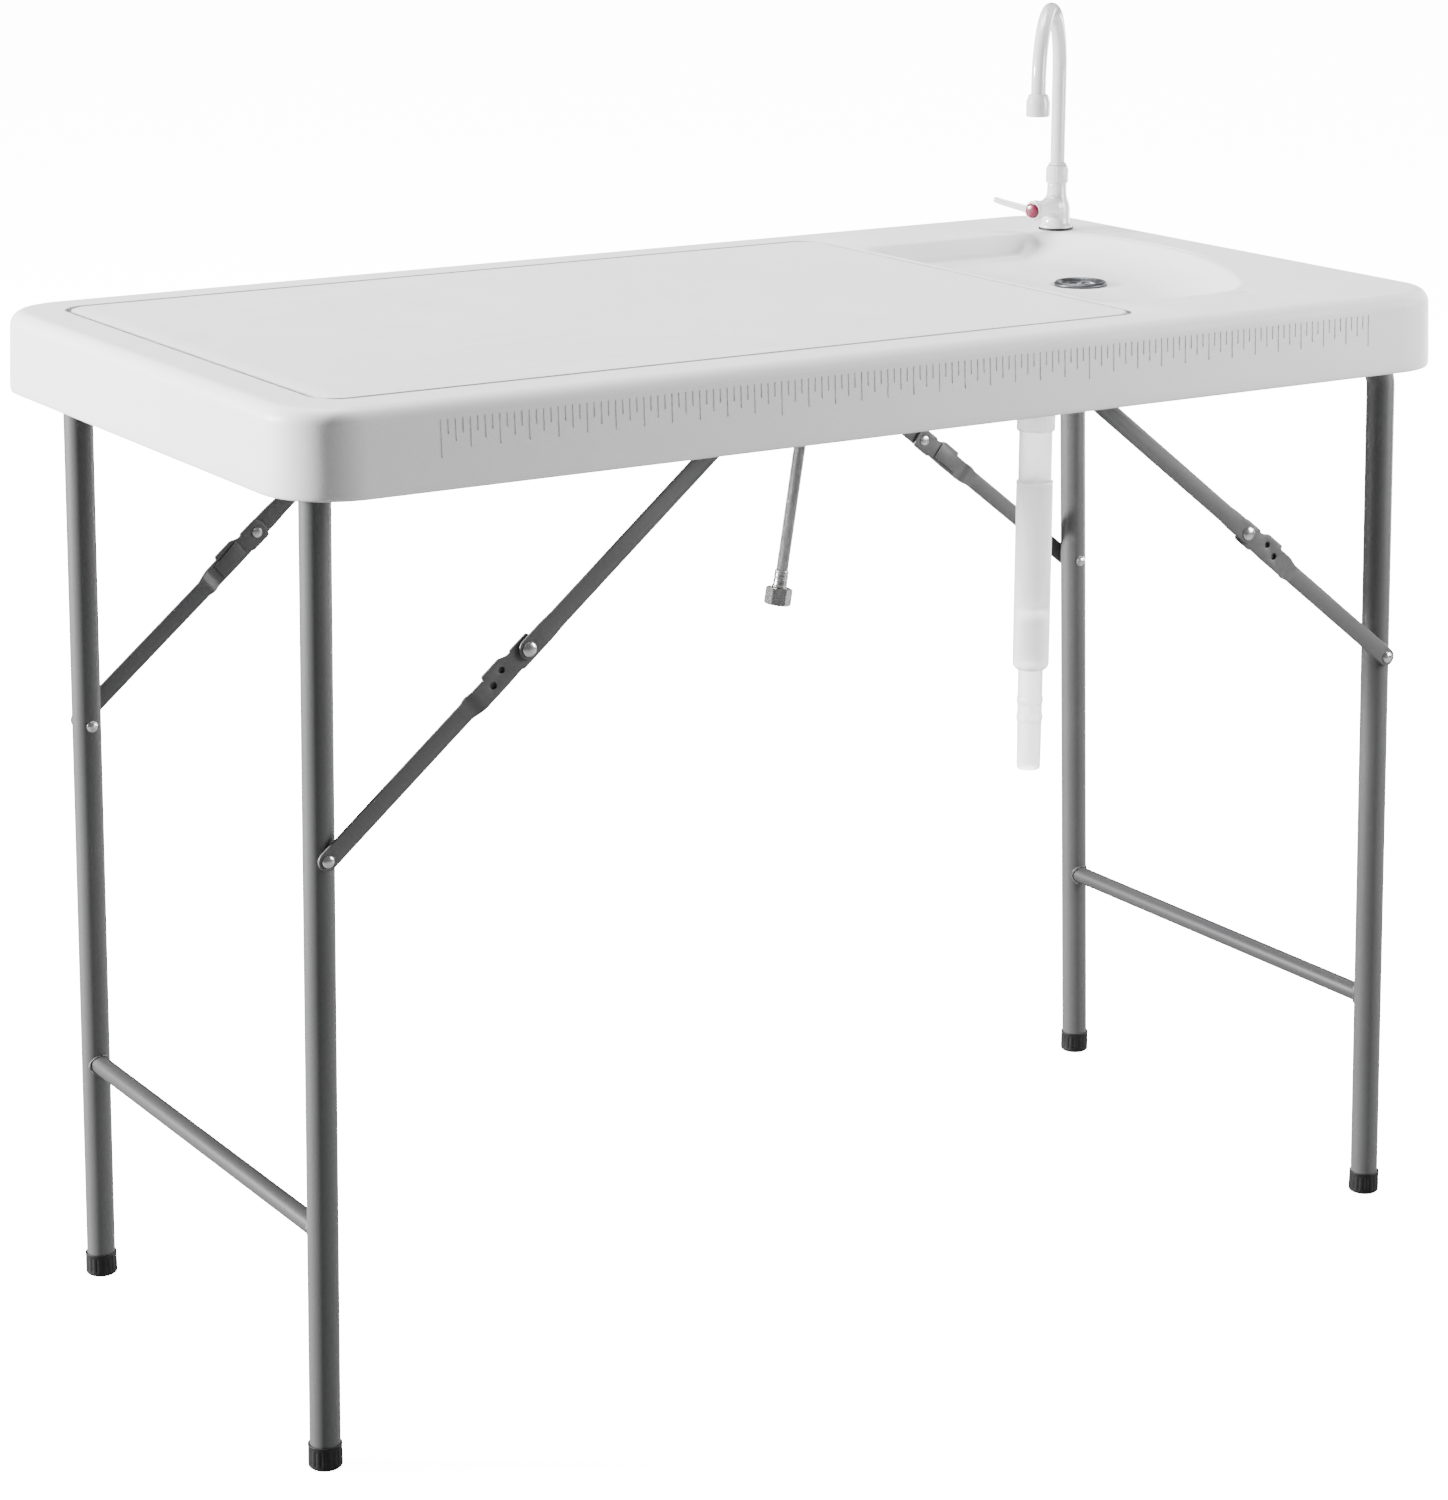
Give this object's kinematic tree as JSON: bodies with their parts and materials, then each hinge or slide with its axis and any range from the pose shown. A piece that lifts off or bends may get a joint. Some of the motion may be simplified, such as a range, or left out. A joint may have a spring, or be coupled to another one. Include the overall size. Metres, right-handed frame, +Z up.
{
  "type": "fish cleaning table",
  "caption": "Folding fish cleaning table with a moulded sink, swivel faucet, supply hose, telescoping drain and hinged tube legs held by knee braces.",
  "frame": {"origin": "on the floor, at the middle of the whole object seen from above", "axes": "+X along the length towards the sink end, +Z up, the front with the measuring scale faces -Y"},
  "size_m": [1.1599, 0.6092, 1.1068],
  "materials": {
    "moulded_top": "fine textured off-white moulded polyethylene",
    "grey_powder_coat": "satin mid-grey powder coat",
    "rivet_steel": "bright zinc",
    "black_rubber": "matt moulded",
    "drain_chrome": "polished, slightly dull",
    "drain_plastic": "translucent natural polyethylene",
    "faucet_plastic": "glossy white",
    "red_indicator": "glossy crimson",
    "hose_braid": "woven stainless braid",
    "hose_fittings": "nickel plated"
  },
  "bodies": {
    "root": {"tabletop": "moulded_top", "tabletop_skirt": "moulded_top", "sink_bowl": "moulded_top", "side_rail_front": "grey_powder_coat", "side_rail_back": "grey_powder_coat", "pivot_bracket_left_front": "grey_powder_coat", "pivot_bracket_left_back": "grey_powder_coat", "pivot_bracket_right_front": "grey_powder_coat", "pivot_bracket_right_back": "grey_powder_coat", "root_rivet_left_front": "rivet_steel", "root_rivet_left_back": "rivet_steel", "root_rivet_right_front": "rivet_steel", "root_rivet_right_back": "rivet_steel", "drain_rim": "drain_chrome", "drain_tailpiece": "drain_chrome", "drain_locknut": "drain_plastic", "drain_offset_elbow": "drain_plastic", "drain_slip_nut": "drain_plastic", "drain_upper_tube": "drain_plastic", "faucet_gasket": "black_rubber", "faucet_body": "faucet_plastic", "faucet_collar": "faucet_plastic", "faucet_shank_nut": "faucet_plastic", "supply_hose": "hose_braid", "hose_coupling": "hose_fittings", "hose_ferrule": "hose_fittings", "hose_nut": "hose_fittings", "hose_clip": "hose_fittings"},
    "legs_left": {"leg_frame_left": "grey_powder_coat", "spreader_left": "grey_powder_coat", "foot_cap_left_front": "black_rubber", "foot_cap_left_back": "black_rubber"},
    "upper_left_front": {"upper_arm_left_front": "grey_powder_coat", "knee_rivet_left_front": "rivet_steel"},
    "lower_left_front": {"lower_arm_left_front": "grey_powder_coat", "leg_rivet_head_left_front": "rivet_steel"},
    "upper_left_back": {"upper_arm_left_back": "grey_powder_coat", "knee_rivet_left_back": "rivet_steel"},
    "lower_left_back": {"lower_arm_left_back": "grey_powder_coat", "leg_rivet_head_left_back": "rivet_steel"},
    "legs_right": {"leg_frame_right": "grey_powder_coat", "spreader_right": "grey_powder_coat", "foot_cap_right_front": "black_rubber", "foot_cap_right_back": "black_rubber"},
    "upper_right_front": {"upper_arm_right_front": "grey_powder_coat", "knee_rivet_right_front": "rivet_steel"},
    "lower_right_front": {"lower_arm_right_front": "grey_powder_coat", "leg_rivet_head_right_front": "rivet_steel"},
    "upper_right_back": {"upper_arm_right_back": "grey_powder_coat", "knee_rivet_right_back": "rivet_steel"},
    "lower_right_back": {"lower_arm_right_back": "grey_powder_coat", "leg_rivet_head_right_back": "rivet_steel"},
    "spout": {"faucet_spout": "faucet_plastic", "faucet_aerator": "faucet_plastic"},
    "lever": {"faucet_lever": "faucet_plastic", "faucet_indicator": "red_indicator"},
    "drain_sleeve": {"drain_sleeve": "drain_plastic"},
    "drain_spigot": {"drain_spigot": "drain_plastic"},
    "strainer": {"drain_strainer": "drain_chrome"}
  },
  "joints": [
    {"name": "leg_fold_left", "type": "hinge", "parent": "root", "child": "legs_left", "pos_m": [-0.52755, 0, 0.854], "axis": [0, -1, 0], "range_deg": [0, 91.16]},
    {"name": "brace_root_left_front", "type": "hinge", "parent": "root", "child": "upper_left_front", "pos_m": [-0.13011, -0.2525, 0.854], "axis": [0, -1, 0], "range_deg": [-39.67, 0]},
    {"name": "brace_knee_left_front", "type": "hinge", "parent": "upper_left_front", "child": "lower_left_front", "pos_m": [-0.35618, -0.25, 0.66658], "axis": [0, -1, 0], "range_deg": [0, 180.01]},
    {"name": "brace_root_left_back", "type": "hinge", "parent": "root", "child": "upper_left_back", "pos_m": [-0.13011, 0.2525, 0.854], "axis": [0, -1, 0], "range_deg": [-39.67, 0]},
    {"name": "brace_knee_left_back", "type": "hinge", "parent": "upper_left_back", "child": "lower_left_back", "pos_m": [-0.35618, 0.25, 0.66658], "axis": [0, -1, 0], "range_deg": [0, 180.01]},
    {"name": "leg_fold_right", "type": "hinge", "parent": "root", "child": "legs_right", "pos_m": [0.5152, 0, 0.8485], "axis": [0, 1, 0], "range_deg": [0, 91.95]},
    {"name": "brace_root_right_front", "type": "hinge", "parent": "root", "child": "upper_right_front", "pos_m": [0.17976, -0.2525, 0.82636], "axis": [0, 1, 0], "range_deg": [-38.24, 0]},
    {"name": "brace_knee_right_front", "type": "hinge", "parent": "upper_right_front", "child": "lower_right_front", "pos_m": [0.37262, -0.25, 0.67443], "axis": [0, 1, 0], "range_deg": [0, 180.01]},
    {"name": "brace_root_right_back", "type": "hinge", "parent": "root", "child": "upper_right_back", "pos_m": [0.17976, 0.2525, 0.82636], "axis": [0, 1, 0], "range_deg": [-38.24, 0]},
    {"name": "brace_knee_right_back", "type": "hinge", "parent": "upper_right_back", "child": "lower_right_back", "pos_m": [0.37262, 0.25, 0.67443], "axis": [0, 1, 0], "range_deg": [0, 180.01]},
    {"name": "spout_swivel", "type": "hinge", "parent": "root", "child": "spout", "pos_m": [0.4882, 0.194, 0.93], "axis": [0, 0, 1], "range_deg": [-120, 120]},
    {"name": "valve_lever", "type": "hinge", "parent": "root", "child": "lever", "pos_m": [0.45031, 0.17835, 0.9055], "axis": [0.9243, 0.3818, 0], "range_deg": [0, 90]},
    {"name": "drain_sleeve_slide", "type": "slide", "parent": "root", "child": "drain_sleeve", "axis": [0, 0, 1], "range_m": [0, 0.045]},
    {"name": "drain_spigot_slide", "type": "slide", "parent": "drain_sleeve", "child": "drain_spigot", "axis": [0, 0, 1], "range_m": [0, 0.085]},
    {"name": "strainer_lift", "type": "slide", "parent": "root", "child": "strainer", "axis": [0, 0, 1], "range_m": [0, 0.04]}
  ],
  "couplings": [
    {"joint": "brace_root_left_front", "follows": "leg_fold_left", "ratio": -0.43507},
    {"joint": "brace_knee_left_front", "follows": "leg_fold_left", "ratio": 1.9746},
    {"joint": "brace_root_left_back", "follows": "leg_fold_left", "ratio": -0.43507},
    {"joint": "brace_knee_left_back", "follows": "leg_fold_left", "ratio": 1.9746},
    {"joint": "brace_root_right_front", "follows": "leg_fold_right", "ratio": -0.41578},
    {"joint": "brace_knee_right_front", "follows": "leg_fold_right", "ratio": 1.9576},
    {"joint": "brace_root_right_back", "follows": "leg_fold_right", "ratio": -0.41578},
    {"joint": "brace_knee_right_back", "follows": "leg_fold_right", "ratio": 1.9576}
  ]
}
